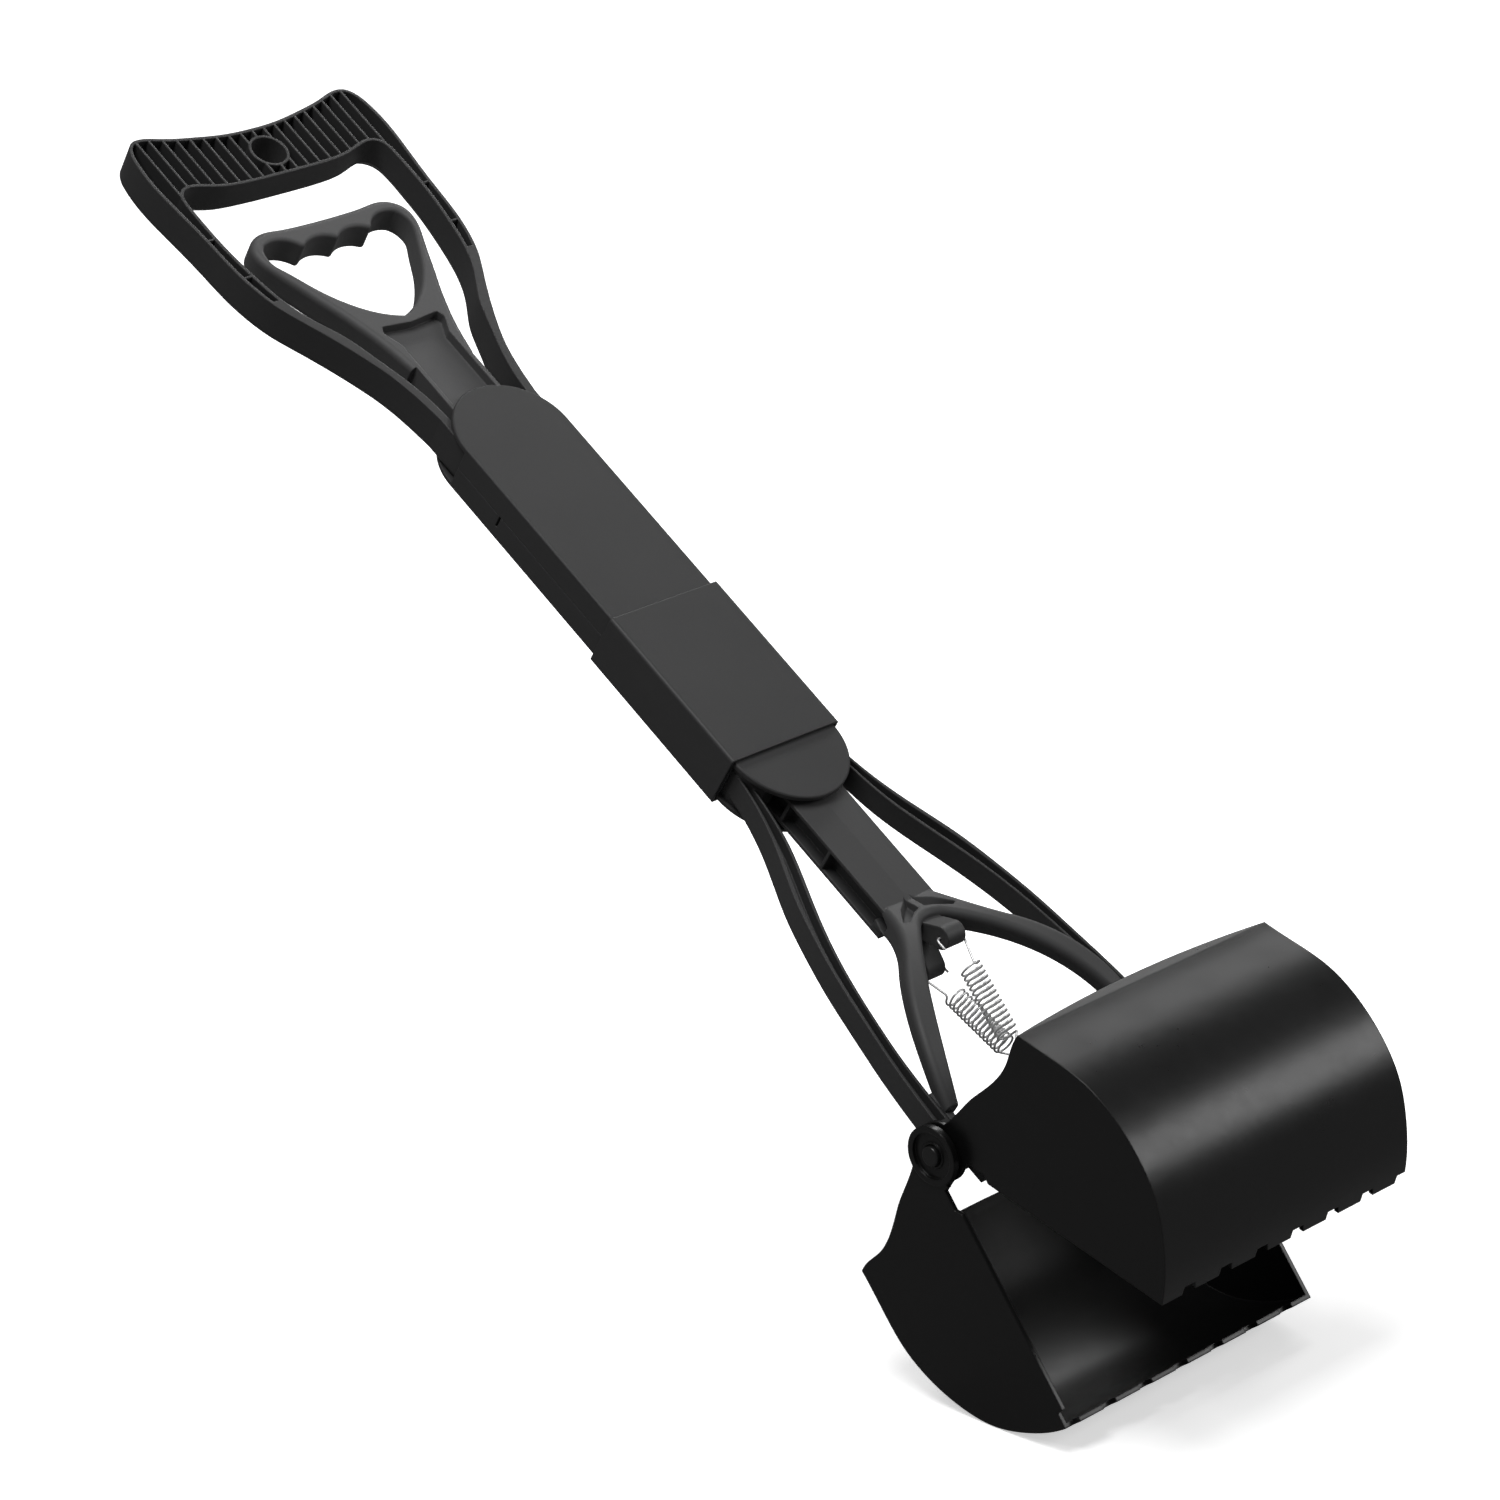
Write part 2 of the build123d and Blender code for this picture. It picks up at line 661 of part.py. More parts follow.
strap_rivet_lower = make_rivet(strap_low + strap_lap / 2, rod_front)
strap_rivet_lower.part.label = "strap_rivet_lower"
export_step(strap_rivet_lower.part, "parts/strap_rivet_lower.step")

# Lower frame
arm_outer = [(outer * arm_half_span, axle_z + up * arm_top_height) for up, outer, _ in arm_shares]
arm_inner = [(inner * arm_half_span, axle_z + up * arm_top_height) for up, _, inner in arm_shares]


def between(share):
    """Points across the lower arm, from its outer edge at 0 to its inner edge at 1."""
    return [
        (a[0] + share * (b[0] - a[0]), a[1] + share * (b[1] - a[1]))
        for a, b in zip(arm_outer, arm_inner)
    ]


def strip_face(first, second):
    """In the current sketch, the face between two curves and its mirror image."""
    with BuildLine() as outline:
        Spline(*first)
        Line(first[-1], second[-1])
        Spline(*second)
        Line(second[0], first[0])
    made = make_face(outline.edges())
    mirror(made, about=Plane.YZ)


with BuildPart() as lower_frame:
    with BuildSketch(Plane.XZ):
        strip_face(arm_outer, arm_inner)
    extrude(amount=arm_depth / 2, both=True)
    with BuildSketch(front_plane(-arm_depth / 2)):
        strip_face(between(arm_groove_shares[0]), between(arm_groove_shares[1]))
        with Locations((0, axle_z)):
            Rectangle(2 * (arm_half_span + overrun), 2 * (eye_radius + grip_wall), mode=Mode.SUBTRACT)
    extrude(amount=-arm_groove_depth, mode=Mode.SUBTRACT)
    rail_low_z = at(lower_screw_height) - screw_boss_radius - grip_wall
    for side in (-1, 1):
        with BuildSketch(Plane.XZ):
            with Locations((side * (lower_rail_inner + rail_outer) / 2, (rail_low_z + lower_end_z) / 2)):
                Rectangle(rail_outer - lower_rail_inner, lower_end_z - rail_low_z)
            with Locations((0, at(case_low_centre_height))):
                Circle(case_half_width - skirt_width, mode=Mode.INTERSECT)
        extrude(amount=frame_half, both=True)
        with BuildSketch(Plane.YZ.offset(side * arm_inner[-1][0])):
            with Locations((0, axle_z)):
                Circle(eye_radius)
        extrude(amount=side * (arm_half_span - arm_inner[-1][0]))
    box_between(
        -lower_rail_inner - pin_gap, lower_rail_inner + pin_gap, -frame_half, -frame_half + bridge_thickness,
        lower_end_z - bridge_height, lower_end_z,
    )
    with BuildSketch(Plane.YZ):
        with Locations((0, axle_z)):
            Circle(axle_radius + bore_gap)
    extrude(amount=arm_half_span + overrun, both=True, mode=Mode.SUBTRACT)
    # Hinge knuckles, and room for those of the upper frame
    for side in (-1, 1):
        with BuildSketch(Plane.YZ.offset(side * (knuckle_middle + knuckle_outer) / 2)):
            with Locations((hinge_y, seam_z)):
                Circle(knuckle_radius + running_gap)
        extrude(amount=knuckle_length / 2 + knuckle_gap, both=True, mode=Mode.SUBTRACT)
        with BuildSketch(Plane.YZ.offset(side * (knuckle_inner + knuckle_middle - knuckle_gap) / 2)):
            with Locations((hinge_y, seam_z)):
                Circle(knuckle_radius)
        extrude(amount=(knuckle_length - running_gap) / 2, both=True)
    with BuildSketch(Plane.YZ):
        with Locations((hinge_y, seam_z)):
            Circle(hinge_pin_radius + bore_gap)
    extrude(amount=rail_outer + overrun, both=True, mode=Mode.SUBTRACT)
    for side in (-1, 1):
        with BuildSketch(Plane.XZ):
            with Locations((side * screw_offset, at(lower_screw_height))):
                Circle(screw_radius + pin_gap)
        extrude(amount=frame_half + overrun, both=True, mode=Mode.SUBTRACT)
        with BuildSketch(front_plane(-frame_half)):
            with Locations((side * screw_offset, at(lower_screw_height))):
                Circle(screw_boss_radius + bore_gap)
        extrude(amount=-screw_boss_length - bore_gap, mode=Mode.SUBTRACT)
lower_frame.part.label = "lower_frame"
export_step(lower_frame.part, "parts/lower_frame.step")

# Fork
leg_outer = spread(leg_outer_shares, foot_outer, axle_z, at(rod_foot_height))
leg_inner = spread(leg_inner_shares, foot_outer, axle_z, at(rod_foot_height))
leg_front = spread(leg_front_shares, leg_bow, axle_z, at(rod_foot_height))
leg_back = spread(leg_back_shares, leg_bow, axle_z, at(rod_foot_height))
drive_turn = radians(jaw_open_angle - drive_sweep / 2)
drive_z = axle_z + drive_radius * sin(drive_turn)
drive_stroke = drive_radius * sin(radians(drive_sweep / 2))
drive_near = drive_radius * cos(radians(drive_sweep / 2))

with BuildPart() as fork:
    # Legs: their outline from the front, cut to their bow from the side
    with BuildSketch(front_plane(leg_bow)):
        with BuildLine():
            crotch = ThreePointArc(*leg_inner[:3])
            TangentArc(*leg_inner[2:], tangent=crotch.tangent_at(1))
            Line(leg_inner[-1], leg_outer[-1])
            shoulder = ThreePointArc(*leg_outer[:3])
            TangentArc(*leg_outer[2:], tangent=shoulder.tangent_at(1))
            Line(leg_outer[0], (0, leg_outer[0][1]))
            mirror(about=Plane.YZ)
        make_face()
    extrude(amount=2 * leg_bow + overrun)
    with BuildSketch(Plane.YZ.offset(-foot_outer)):
        with BuildLine():
            ThreePointArc(*leg_front)
            Line(leg_front[-1], leg_back[-1])
            ThreePointArc(*leg_back)
            Line(leg_back[0], leg_front[0])
        make_face()
    extrude(amount=2 * foot_outer, mode=Mode.INTERSECT)
    leg_edges = fork.edges().filter_by(lambda edge: abs(edge.tangent_at(0).X) > pin_gap)
    leg_foot_z, leg_head_z = leg_outer[-1][1] + pin_gap, at(rod_foot_height) - pin_gap
    fillet(
        leg_edges.filter_by(lambda edge: leg_foot_z < edge.center().Z < leg_head_z), radius=leg_edge_radius,
    )
    # Rod with a ridged front and open sides
    with BuildSketch(Plane.XY.offset(at(rod_foot_height) - overrun)):
        with BuildLine():
            Polyline(
                (-rod_half_width, strap_back), (rod_half_width, strap_back), (rod_half_width, -rod_front),
                (0, -rod_ridge), (-rod_half_width, -rod_front), close=True,
            )
        make_face()
    extrude(amount=rod_top_height - rod_foot_height + overrun)
    bays = (rod_top_height,) + rod_rib_heights + (rod_foot_height,)
    for bay_high, bay_low in zip(bays[:-1], bays[1:]):
        for side in (-1, 1):
            x_in, x_out = sorted((side * rod_web_half_width, side * (rod_half_width + overrun)))
            box_between(
                x_in, x_out, -rod_front + rod_flange, strap_back - rod_flange,
                at(bay_low) + rod_rib_thickness / 2, at(bay_high) - rod_rib_thickness / 2,
                mode=Mode.SUBTRACT,
            )
    for side in (-1, 1):
        x_in, x_out = sorted((side * rod_web_half_width, side * (rod_half_width + overrun)))
        box_between(
            x_in, x_out, -rod_front + rod_flange, bay_foot_back, at(bay_foot_height),
            at(rod_foot_height) + rod_rib_thickness / 2 + pin_gap, mode=Mode.SUBTRACT,
        )
    # Scoops under the ridge's end, sunk from a plane that leans with the legs' fronts
    scoop_rim = spread(scoop_rim_shares, foot_outer, axle_z, at(rod_foot_height))
    scoop_floor = spread(scoop_floor_shares, foot_outer, axle_z, at(rod_foot_height))
    lean_run = leg_front[0][1] - leg_inner[2][1]
    lean = Plane(
        origin=(0, leg_front[0][0], leg_front[0][1]), x_dir=(1, 0, 0),
        z_dir=(0, -lean_run, overrun),
    )
    for side in (-1, 1):
        with BuildSketch(lean.offset(overrun)):
            with BuildLine():
                Polyline(*[(side * x, z - leg_front[0][1]) for x, z in scoop_rim], close=True)
            make_face()
        with BuildSketch(lean.offset(-scoop_depth)):
            with BuildLine():
                Polyline(*[(side * x, z - leg_front[0][1]) for x, z in scoop_floor], close=True)
            make_face()
        loft(ruled=True, mode=Mode.SUBTRACT)
    # Seat of the strap and its rivet
    box_between(
        -strap_width / 2 - pin_gap, strap_width / 2 + pin_gap, strap_front, strap_back + overrun,
        at(rod_top_height) - strap_lap - pin_gap, at(rod_top_height) + overrun, mode=Mode.SUBTRACT,
    )
    with BuildSketch(Plane.XZ):
        with Locations((0, at(rod_top_height) - strap_lap / 2)):
            Circle(rivet_radius + pin_gap)
    extrude(amount=rod_ridge + overrun, both=True, mode=Mode.SUBTRACT)
    with BuildSketch(front_plane(-rod_front + rivet_seat_depth)):
        with Locations((0, at(rod_top_height) - strap_lap / 2)):
            Circle(rivet_head_radius + pin_gap)
    extrude(amount=overrun, mode=Mode.SUBTRACT)
    # Lugs for the springs
    for sense in (-1, 1):
        with BuildSketch(Plane.YZ):
            with Locations((sense * lug_reach, at(lug_height))):
                Circle(lug_radius)
            with Locations((sense * lug_root_reach, leg_inner[0][1] + lug_root_radius)):
                Circle(lug_root_radius)
            make_hull()
        extrude(amount=lug_half_width, both=True)
        with BuildSketch(Plane.YZ):
            with Locations((sense * lug_reach, at(lug_height))):
                Circle(lug_hole_radius)
        extrude(amount=lug_half_width + overrun, both=True, mode=Mode.SUBTRACT)
    # Slotted feet: a bar for the drive pins' slots across a post for the axle's
    bar_half = drive_pin_radius + slot_wall
    bar_reach = drive_radius + bar_half
    post_half = axle_radius + slot_wall
    for side in (-1, 1):
        with BuildSketch(Plane.YZ.offset(side * foot_inner)):
            with BuildLine():
                Polyline(
                    (-bar_reach, drive_z - bar_half), (-bar_reach, drive_z + bar_half),
                    (-post_half, drive_z + bar_half), (-post_half, axle_z + foot_height),
                    (post_half, axle_z + foot_height), (post_half, drive_z + bar_half),
                    (bar_reach, drive_z + bar_half), (bar_reach, drive_z - bar_half),
                    (post_half, drive_z - bar_half), (post_half, axle_z - foot_low),
                    (-post_half, axle_z - foot_low), (-post_half, drive_z - bar_half),
                    close=True,
                )
            make_face()
        extrude(amount=side * (foot_outer - foot_inner))
        with BuildSketch(Plane.YZ.offset(side * (foot_inner + foot_outer) / 2)):
            for sense in (-1, 1):
                with Locations((sense * (drive_near + drive_radius) / 2, drive_z)):
                    SlotCenterToCenter(
                        drive_radius - drive_near + 2 * running_gap, 2 * (drive_pin_radius + running_gap),
                    )
            # The axle's slot reaches past the fork's travel both ways
            slot_high = drive_z + drive_stroke + running_gap
            slot_low = drive_z - drive_stroke - running_gap
            with Locations((0, (slot_high + slot_low) / 2)):
                SlotCenterToCenter(
                    slot_high - slot_low, 2 * (axle_radius + running_gap), rotation=90,
                )
        extrude(amount=foot_outer - foot_inner, both=True, mode=Mode.SUBTRACT)
fork.part.label = "fork"
export_step(fork.part, "parts/fork.step")

# Axle, its end caps and washers
with BuildPart() as jaw_axle:
    with BuildSketch(Plane.YZ):
        with Locations((0, axle_z)):
            Circle(axle_radius)
    extrude(amount=axle_half_length, both=True)
jaw_axle.part.label = "jaw_axle"
export_step(jaw_axle.part, "parts/jaw_axle.step")


def make_cap(side):
    """A push cap over one end of the axle."""
    with BuildPart() as cap:
        with BuildSketch(Plane.YZ.offset(side * cap_start)):
            with Locations((0, axle_z)):
                Circle(cap_radius)
        extrude(amount=side * (cap_end - cap_start))
        end_face = cap.faces().filter_by(Axis.X).sort_by(Axis.X)[-1 if side > 0 else 0]
        fillet(end_face.edges(), radius=cap_dome)
        with BuildSketch(Plane.YZ.offset(side * (cap_start - overrun))):
            with Locations((0, axle_z)):
                Circle(axle_radius + pin_gap)
        extrude(amount=side * (axle_half_length - cap_start + overrun), mode=Mode.SUBTRACT)
    return cap


axle_cap_left = make_cap(-1)
axle_cap_left.part.label = "axle_cap_left"
export_step(axle_cap_left.part, "parts/axle_cap_left.step")

axle_cap_right = make_cap(1)
axle_cap_right.part.label = "axle_cap_right"
export_step(axle_cap_right.part, "parts/axle_cap_right.step")

near_inner = jaw_near - jaw_wall
with BuildPart() as pivot_washers:
    for side in (-1, 1):
        for inner, outer in ((arm_half_span, near_inner), (jaw_near, disc_back)):
            with BuildSketch(Plane.YZ.offset(side * (inner + washer_gap))):
                with Locations((0, axle_z)):
                    Circle(washer_radius)
                    Circle(axle_radius + bore_gap, mode=Mode.SUBTRACT)
            extrude(amount=side * (outer - inner - 2 * washer_gap))
pivot_washers.part.label = "pivot_washers"
export_step(pivot_washers.part, "parts/pivot_washers.step")

# Jaws
jaw_shell = [(u * jaw_reach, -v * jaw_drop) for u, v in jaw_shell_shares]
jaw_crest = [(u * jaw_reach, -v * jaw_drop) for u, v in jaw_crest_shares]


def make_jaw(sense):
    """One jaw in its open place: the back one with sense 1, the front one with sense -1."""
    turn = radians(jaw_open_angle)
    flat = Plane(origin=(0, 0, axle_z), x_dir=(0, sense * cos(turn), sin(turn)), z_dir=(sense, 0, 0))
    base = Plane(
        origin=(0, 0, axle_z), x_dir=(sense, 0, 0), z_dir=(0, -sense * sin(turn), cos(turn)),
    )
    with BuildPart() as jaw:
        with BuildSketch(flat.offset(-jaw_far)):
            with BuildLine():
                Spline(*jaw_shell)
                Spline(*jaw_crest)
                Polyline(
                    jaw_crest[-1], (0, 0), (0, -jaw_drop),
                )
            make_face()
            Circle(ear_radius)
            with Locations((-hang_height / 2 + jaw_mate_gap, -ear_radius - hang_height / 2)):
                Rectangle(hang_height, hang_height, mode=Mode.SUBTRACT)
        extrude(amount=jaw_far + jaw_near)
        # The bowl between the two side plates
        with BuildSketch(flat.offset(-jaw_far + jaw_wall)):
            with BuildLine():
                Spline(*inset(jaw_shell, -jaw_wall))
                Polyline(
                    inset(jaw_shell, -jaw_wall)[-1], (jaw_reach - jaw_wall, ear_radius + overrun),
                    (-ear_radius - overrun, ear_radius + overrun),
                    (-ear_radius - overrun, -jaw_drop + jaw_wall),
                    inset(jaw_shell, -jaw_wall)[0],
                )
            make_face()
        extrude(amount=jaw_far + jaw_near - 2 * jaw_wall, mode=Mode.SUBTRACT)
        # The shell's upper lip rises in a shallow arc between the plates
        lip = Plane(
            origin=flat.from_local_coords(Vector(*jaw_shell[-1], 0)), x_dir=-flat.z_dir, z_dir=flat.x_dir,
        )
        with BuildSketch(lip):
            with BuildLine():
                ThreePointArc((-jaw_near, 0), ((jaw_far - jaw_near) / 2, lip_crown), (jaw_far, 0))
                Line((jaw_far, 0), (-jaw_near, 0))
            make_face()
        extrude(amount=-jaw_wall)
        # The far ear is a raised disc with a round recess and a hub
        with BuildSketch(flat.offset(-disc_face)):
            Circle(ear_radius)
        extrude(amount=disc_face - disc_back)
        with BuildSketch(flat.offset(-disc_face)):
            Circle(disc_recess_radius)
        extrude(amount=disc_recess_depth, mode=Mode.SUBTRACT)
        with BuildSketch(flat.offset(-disc_face + disc_recess_depth)):
            Circle(hub_radius)
        extrude(amount=-hub_height)
        with BuildSketch(flat.offset(-disc_face)):
            Circle(cap_radius + running_gap)
        extrude(amount=disc_recess_depth, mode=Mode.SUBTRACT)
        with BuildSketch(flat):
            Circle(axle_radius + bore_gap)
        extrude(amount=disc_face + overrun, both=True, mode=Mode.SUBTRACT)
        # Relief beside the pivot, in both plates
        with BuildSketch(flat):
            with BuildLine():
                Polyline(
                    (-overrun, -relief_top), (relief_depth, -relief_top), (relief_depth, -relief_low + relief_depth),
                    (-overrun, -relief_low - overrun), close=True,
                )
            make_face()
        extrude(amount=disc_face + overrun, both=True, mode=Mode.SUBTRACT)
        # Toothed edge
        for count in range(notch_count):
            centre = -jaw_far + notch_start + count * notch_pitch
            with BuildSketch(base.offset(-jaw_drop - overrun)):
                with BuildLine():
                    Polyline(
                        (centre - notch_width / 2, notch_depth), (centre + notch_width / 2, notch_depth),
                        (centre + notch_width / 2 + notch_flare, -overrun),
                        (centre - notch_width / 2 - notch_flare, -overrun), close=True,
                    )
                make_face()
            extrude(amount=2 * overrun + jaw_wall, mode=Mode.SUBTRACT)
        # Drive pins that reach in to the slotted feet
        pin_turn = radians(-drive_sweep / 2)
        with BuildSketch(flat.offset(-jaw_far + jaw_wall)):
            with Locations((drive_radius * cos(pin_turn), drive_radius * sin(pin_turn))):
                Circle(drive_pin_radius)
        extrude(amount=jaw_far - jaw_wall - foot_inner + running_gap)
        with BuildSketch(flat.offset(near_inner)):
            with Locations((drive_radius * cos(pin_turn), drive_radius * sin(pin_turn))):
                Circle(drive_pin_radius)
        extrude(amount=-(near_inner - foot_inner + running_gap))
    return jaw


front_jaw = make_jaw(-1)
front_jaw.part.label = "front_jaw"
export_step(front_jaw.part, "parts/front_jaw.step")

back_jaw = make_jaw(1)
back_jaw.part.label = "back_jaw"
export_step(back_jaw.part, "parts/back_jaw.step")


def biarc(start, start_run, end, end_run):
    """In the current line, two tangent arcs between two points with given directions."""
    chord = end - start
    bend = 2 * (start_run.dot(end_run) - 1)
    slope = -2 * chord.dot(start_run + end_run)
    reach = (-slope - sqrt(slope**2 - 4 * bend * chord.dot(chord))) / (2 * bend)
    first, second = start + start_run * reach, end - end_run * reach
    joint = (first + second) / 2
    TangentArc(start, joint, tangent=start_run)
    TangentArc(joint, end, tangent=(second - first).normalized())


def least_gap(path, wire):
    """The least clear distance of a wire to itself, measured on points along its path."""
    step = 2 * wire
    count = int(path.length / step)
    points = [path.position_at(index / count) for index in range(count + 1)]
    apart = int(6 * wire / step)
    return min(
        (points[one] - points[two]).length
        for one in range(count + 1)
        for two in range(one + apart, count + 1)
    ) - 2 * wire


def make_spring(sense, top_side, low_side):
    """A spring from its lug to the axle: the front one with sense -1, the back one with sense 1."""
    across = Vector(-sense, 0, 0)
    down = Vector(0, 0, -1)
    lug = Vector(0, sense * lug_reach, at(lug_height))
    top = Vector(top_side, sense * spring_top_reach, at(spring_top_height))
    low = Vector(low_side, sense * spring_low_reach, at(spring_low_height))
    along = (low - top).normalized()
    third = along.cross(across)
    pitch = (low - top).length / spring_turns

    def coil_point(turn):
        angle = 2 * pi * turn
        spoke = across * cos(angle) + third * sin(angle)
        return top + along * (pitch * turn) + spoke * spring_coil_radius

    def coil_run(turn):
        angle = 2 * pi * turn
        round_run = third * cos(angle) - across * sin(angle)
        return (round_run * (2 * pi * spring_coil_radius) + along * pitch).normalized()

    bend = spring_bend_radius
    outside = lug_half_width + bend + running_gap
    free_end = lug - across * outside + down * (bend + spring_free_end)
    free_top = lug - across * outside + down * bend
    arm_top = lug + across * outside + down * bend
    arm_low = coil_point(0) - third * bend - along * bend
    arm_run = (arm_low - arm_top).normalized()
    hook_radius = axle_radius + spring_wire_radius + running_gap
    hook_top = low + across * spring_hook_offset + along * spring_hook_drop
    centre = Vector(hook_top.X, 0, axle_z)
    reach = hook_top - centre
    hook_start = atan2(reach.Z, reach.Y) - sense * acos(hook_radius / reach.length)
    hook_sweep = -sense * radians(spring_hook_sweep)

    def hook_point(share):
        angle = hook_start + share * hook_sweep
        return centre + Vector(0, cos(angle), sin(angle)) * hook_radius

    with BuildPart() as spring:
        with BuildLine() as wire_line:
            Line(free_end, free_top)
            biarc(free_top, -down, lug - across * (outside - bend), across)
            Line(lug - across * (outside - bend), lug + across * (outside - bend))
            biarc(lug + across * (outside - bend), across, arm_top, arm_run)
            Line(arm_top, arm_low)
            biarc(arm_low, arm_run, coil_point(0), coil_run(0))
            for half_turn in range(2 * spring_turns):
                turn = half_turn / 2
                biarc(coil_point(turn), coil_run(turn), coil_point(turn + 1 / 2), coil_run(turn + 1 / 2))
            hook_run = (hook_point(0) - hook_top).normalized()
            biarc(coil_point(spring_turns), coil_run(spring_turns), hook_top, hook_run)
            Line(hook_top, hook_point(0))
            ThreePointArc(hook_point(0), hook_point(1 / 4), hook_point(1 / 2))
            ThreePointArc(hook_point(1 / 2), hook_point(3 / 4), hook_point(1))
        with BuildSketch(Plane(origin=free_end, z_dir=-down)):
            Circle(spring_wire_radius)
        sweep_path = wire_line.wires()[0]
        sweep(path=sweep_path)
    print("least gap of the spring's wire to itself", round(least_gap(sweep_path, spring_wire_radius), 2))
    return spring


front_spring = make_spring(-1, front_spring_top_side, front_spring_low_side)
front_spring.part.label = "front_spring"
export_step(front_spring.part, "parts/front_spring.step")

back_spring = make_spring(1, back_spring_top_side, back_spring_low_side)
back_spring.part.label = "back_spring"
export_step(back_spring.part, "parts/back_spring.step")
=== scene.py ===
import json
import math

import bpy
import numpy as np
from mathutils import Matrix, Vector


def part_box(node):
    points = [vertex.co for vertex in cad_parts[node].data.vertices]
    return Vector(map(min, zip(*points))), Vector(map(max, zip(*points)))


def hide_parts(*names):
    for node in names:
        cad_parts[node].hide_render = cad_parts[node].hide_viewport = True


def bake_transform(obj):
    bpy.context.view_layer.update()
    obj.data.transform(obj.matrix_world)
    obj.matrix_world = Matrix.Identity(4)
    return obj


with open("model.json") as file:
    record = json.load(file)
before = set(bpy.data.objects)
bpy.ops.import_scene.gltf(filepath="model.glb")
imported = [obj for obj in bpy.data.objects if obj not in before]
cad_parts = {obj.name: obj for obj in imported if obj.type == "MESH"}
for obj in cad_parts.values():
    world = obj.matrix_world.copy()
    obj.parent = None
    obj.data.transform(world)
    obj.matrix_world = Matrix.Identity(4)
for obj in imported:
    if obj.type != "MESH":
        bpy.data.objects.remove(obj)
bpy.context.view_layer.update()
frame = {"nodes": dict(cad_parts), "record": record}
scene = bpy.context.scene

# Everything is in metres from the hang hole's centre, with +Z up the shaft and the front towards -Y
axleZ = -0.5565


# Shader maths written as Python expressions: each sum or product adds its Math node
class Wire:
    def __init__(self, tree, socket):
        self.tree = tree
        self.socket = socket

    def join(self, operation, first, second):
        return self.tree.add("ShaderNodeMath", {"operation": operation}, [first, second])

    def __add__(self, other):
        return self.join("ADD", self, other)

    def __radd__(self, other):
        return self.join("ADD", other, self)

    def __sub__(self, other):
        return self.join("SUBTRACT", self, other)

    def __rsub__(self, other):
        return self.join("SUBTRACT", other, self)

    def __mul__(self, other):
        return self.join("MULTIPLY", self, other)

    def __rmul__(self, other):
        return self.join("MULTIPLY", other, self)


# The nodes of one material or of the world, cleared first
class Tree:
    def __init__(self, owner):
        owner.use_nodes = True
        self.nodes = owner.node_tree.nodes
        self.links = owner.node_tree.links
        self.nodes.clear()

    # Any node: its settings first, then its inputs by place or by name
    def add(self, kind, settings=None, inputs=(), out=0):
        node = self.nodes.new(kind)
        for name, value in (settings or {}).items():
            setattr(node, name, value)
        pairs = inputs.items() if isinstance(inputs, dict) else enumerate(inputs)
        for key, value in pairs:
            if isinstance(value, Wire):
                self.links.new(value.socket, node.inputs[key])
            else:
                node.inputs[key].default_value = value
        return Wire(self, node.outputs[out]) if len(node.outputs) else None

    # A blend of two colours, by a factor that may vary
    def mix(self, factor, first, second):
        return self.add("ShaderNodeMix", {"data_type": "RGBA"}, {0: factor, 6: first, 7: second}, out=2)


def grey(value, tint=(1.0, 1.0, 1.0)):
    return (value * tint[0], value * tint[1], value * tint[2], 1.0)


# Black plastics. shade and rough are the means, grain is in waves per metre, bump and edge in metres.
# bowl is y and z of the middle of a jaw's bowl, and the values after it are for the bowl's inside:
# a darker colour and a weaker gloss there are painted shade, and matt makes that inside rougher
plasticLooks = {
    "frame_plastic": dict(shade=0.038, rough=0.50, shine=0.36, grain=1100.0, bump=0.00005, edge=0.0009),
    "cover_plastic": dict(shade=0.040, rough=0.50, shine=0.32, grain=1500.0, bump=0.00003, edge=0.0008),
    "sleeve_plastic": dict(shade=0.041, rough=0.48, shine=0.32, grain=1500.0, bump=0.00003, edge=0.0008),
    "trigger_plastic": dict(shade=0.078, rough=0.56, shine=0.36, grain=1100.0, bump=0.00006, edge=0.0010),
    "fork_plastic": dict(shade=0.050, rough=0.54, shine=0.36, grain=1100.0, bump=0.00006, edge=0.0010),
    "jaw_plastic": dict(
        shade=0.007, rough=0.30, shine=0.38, grain=1900.0, bump=0.00001, edge=0.0009,
        bowl=(0.030, -0.620), bowlPaintedShade=0.004, bowlPaintedShadeShine=0.22, matt=0.08,
    ),
    "cap_plastic": dict(shade=0.009, rough=0.30, shine=0.50, grain=1100.0, bump=0.00002, edge=0.0005),
    "washer_plastic": dict(shade=0.015, rough=0.50, shine=0.40, grain=1100.0, bump=0.00002, edge=0.0003),
    "strap_plastic": dict(shade=0.015, rough=0.60, shine=0.30, grain=1900.0, bump=0.00004, edge=0.0002),
}
mottleLook = dict(
    cloud=26.0, scuff=170.0, spread=0.14, cloudRough=0.07, scuffRough=0.10, cloudShare=0.6, grainShare=0.7,
    bumpStrength=0.35, darkTint=(1.0, 1.0, 1.02), lightTint=(1.0, 1.0, 1.01),
)
noiseMiddle = 0.5


# Painted shade mask: one inside the bowls, where a face looks back at the middle of its own bowl
def paintedShadeBowlMask(tree, place, bowl):
    y = tree.add("ShaderNodeSeparateXYZ", None, [place], out=1)
    side = tree.add("ShaderNodeMath", {"operation": "SIGN"}, [y])
    centre = tree.add("ShaderNodeCombineXYZ", None, [0.0, side * bowl[0], bowl[1]])
    reach = tree.add("ShaderNodeVectorMath", {"operation": "SUBTRACT"}, [place, centre])
    normal = tree.add("ShaderNodeTexCoord", out=1)
    outwards = tree.add("ShaderNodeVectorMath", {"operation": "DOT_PRODUCT"}, [reach, normal], out=1)
    return tree.add("ShaderNodeMath", {"operation": "LESS_THAN"}, [outwards, 0.0])


